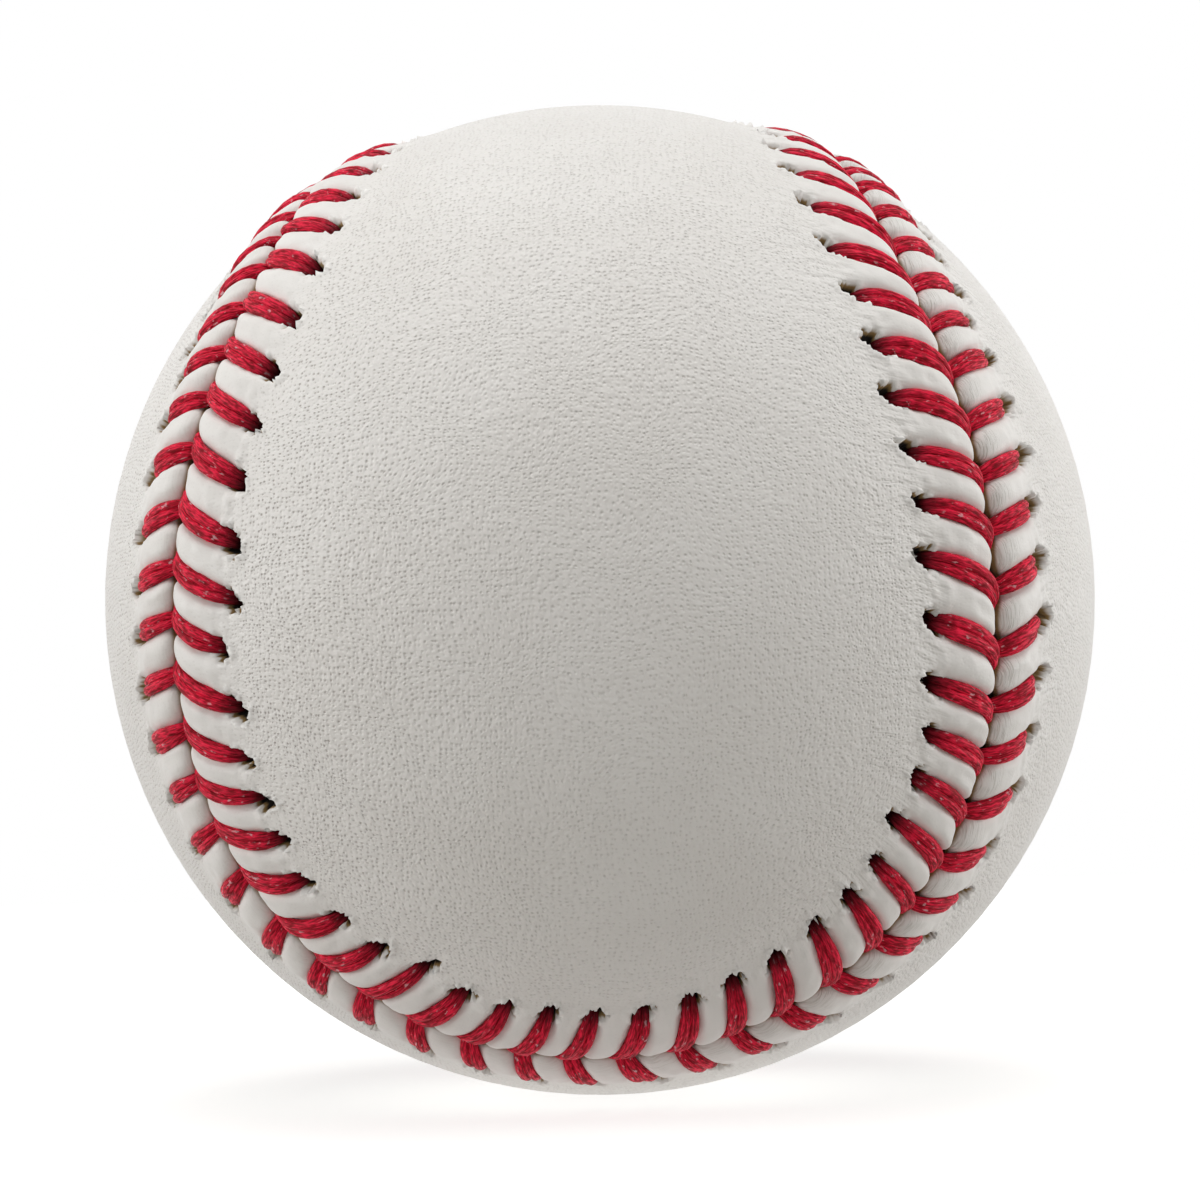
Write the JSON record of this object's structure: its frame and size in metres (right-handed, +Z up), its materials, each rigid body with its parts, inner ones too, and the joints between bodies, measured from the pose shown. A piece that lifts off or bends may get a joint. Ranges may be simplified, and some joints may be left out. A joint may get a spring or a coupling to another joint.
{
  "type": "baseball",
  "caption": "Hand-sewn ball for throwing and batting: cork and rubber core, wool and yarn windings, and a cover of two figure-eight leather panels joined by a raised seam of red stitches.",
  "frame": {"origin": "centre of the ball", "axes": "+Z up through the neck of the upper panel, -Y and +Y out through that panel's two lobes, +X and -X out through the lower panel's two lobes"},
  "size_m": [0.0738, 0.0738, 0.0738],
  "materials": {
    "cork": "matte cork and rubber granules",
    "black_rubber": "matte moulded",
    "gasket_rubber": "matte moulded",
    "red_rubber": "matte moulded",
    "grey_wool": "wound wool yarn",
    "white_wool": "wound wool yarn",
    "finishing_yarn": "wound cotton and polyester yarn",
    "leather": "white tanned, fine grain, low sheen",
    "waxed_thread": "waxed twisted cotton"
  },
  "bodies": {
    "root": {"cork_core": "cork", "black_rubber_cup_upper": "black_rubber", "black_rubber_cup_lower": "black_rubber", "cup_gasket": "gasket_rubber", "red_rubber_skin": "red_rubber", "inner_grey_wool_winding": "grey_wool", "white_wool_winding": "white_wool", "outer_grey_wool_winding": "grey_wool", "finishing_yarn_winding": "finishing_yarn", "leather_panel_upper": "leather", "leather_panel_lower": "leather", "stitches_upper": "waxed_thread", "stitches_lower": "waxed_thread"}
  },
  "joints": []
}
